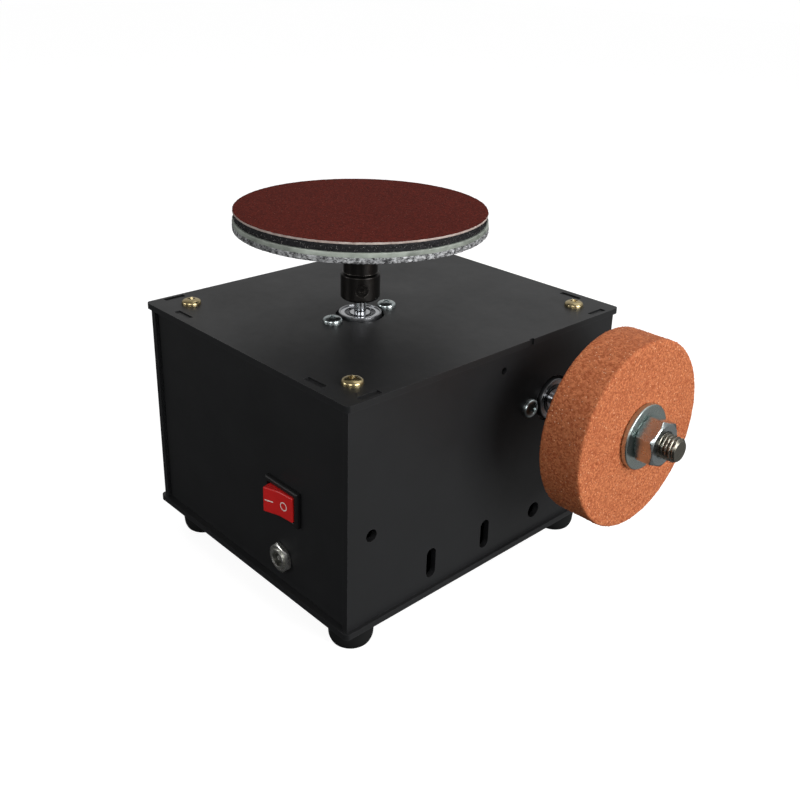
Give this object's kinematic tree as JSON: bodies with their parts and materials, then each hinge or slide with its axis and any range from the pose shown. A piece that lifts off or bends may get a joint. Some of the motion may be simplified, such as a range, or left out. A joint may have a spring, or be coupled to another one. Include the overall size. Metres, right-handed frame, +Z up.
{
  "type": "cabbing machine",
  "caption": "Small stone grinding box with a flat abrasive disc on an upright spindle on top and a grinding wheel on a level spindle at the side, switched by a rocker.",
  "frame": {"origin": "middle of the whole machine's bounding box, wheel and stud included, on the surface that the rubber feet stand on", "axes": "+X towards the free end of the grinding wheel's stud, -Y towards the panel with the switch, +Z up along the abrasive disc's spindle"},
  "size_m": [0.1886, 0.1526, 0.1516],
  "materials": {
    "case_black": "satin black powder coat",
    "yellow_zinc": "yellow zinc plated",
    "bright_zinc": "bright zinc plated",
    "black_steel": "black oxide, oiled",
    "post_steel": "plain turned",
    "rubber": "matte",
    "motor_steel": "plated and drawn",
    "motor_plastic": "moulded",
    "magnet": "ground ferrite",
    "bearing_steel": "ground and polished",
    "copper": "enamelled copper",
    "carbon": "pressed carbon",
    "terminal_brass": "tinned",
    "switch_black": "moulded, semi-gloss",
    "rocker_red": "moulded, glossy",
    "nickel": "nickel plated",
    "wire_red": "extruded insulation",
    "wire_black": "extruded insulation",
    "board_pale": "cut board with a rough pale edge",
    "plate_pale": "pale translucent sheet",
    "hook_black": "hook pad, dense pile",
    "abrasive": "aluminium oxide grit on backing",
    "wheel_orange": "open bonded grit"
  },
  "bodies": {
    "case": {"top_plate": "case_black", "bottom_plate": "case_black", "front_panel": "case_black", "rear_panel": "case_black", "left_panel": "case_black", "right_panel": "case_black", "corner_posts": "post_steel", "top_screws": "yellow_zinc", "rubber_feet": "rubber", "foot_screws": "yellow_zinc", "switch_housing": "switch_black", "switch_terminals": "terminal_brass", "jack_body": "nickel", "jack_pin": "nickel", "jack_nut": "nickel", "jack_tags": "terminal_brass", "switch_wires": "wire_red", "return_wires": "wire_black", "disc_motor_can": "motor_steel", "disc_motor_end_cap": "motor_plastic", "disc_motor_magnets": "magnet", "disc_motor_bearing_outers": "bearing_steel", "disc_motor_brushes": "carbon", "disc_motor_terminals": "terminal_brass", "disc_motor_screws": "bright_zinc", "wheel_motor_can": "motor_steel", "wheel_motor_end_cap": "motor_plastic", "wheel_motor_magnets": "magnet", "wheel_motor_bearing_outers": "bearing_steel", "wheel_motor_brushes": "carbon", "wheel_motor_terminals": "terminal_brass", "wheel_motor_screws": "bright_zinc"},
    "disc_spindle": {"disc_motor_shaft": "bearing_steel", "disc_motor_core": "motor_steel", "disc_motor_windings": "copper", "disc_motor_commutator": "copper", "disc_motor_bearing_inners": "bearing_steel", "disc_motor_bearing_balls": "bearing_steel", "disc_coupling": "black_steel", "disc_coupling_screws": "black_steel", "disc_washer": "bright_zinc", "backing_board": "board_pale", "backing_plate": "plate_pale", "hook_pad": "hook_black", "abrasive_disc": "abrasive"},
    "wheel_spindle": {"wheel_motor_shaft": "bearing_steel", "wheel_motor_core": "motor_steel", "wheel_motor_windings": "copper", "wheel_motor_commutator": "copper", "wheel_motor_bearing_inners": "bearing_steel", "wheel_motor_bearing_balls": "bearing_steel", "wheel_arbor": "black_steel", "wheel_arbor_screws": "black_steel", "inner_washer": "bright_zinc", "grinding_wheel": "wheel_orange", "outer_washer": "bright_zinc", "arbor_nut": "bright_zinc"},
    "rocker": {"switch_rocker": "rocker_red"}
  },
  "joints": [
    {"name": "disc_spin", "type": "hinge", "parent": "case", "child": "disc_spindle", "pos_m": [-0.02775, -0.0137, 0.107], "axis": [0, 0, 1], "continuous": true},
    {"name": "wheel_spin", "type": "hinge", "parent": "case", "child": "wheel_spindle", "pos_m": [0.03425, 0.0373, 0.076], "axis": [1, 0, 0], "continuous": true},
    {"name": "switch_tilt", "type": "hinge", "parent": "case", "child": "rocker", "pos_m": [-0.00425, -0.0699, 0.0525], "axis": [0, 0, 1], "range_deg": [-24, 0]}
  ]
}
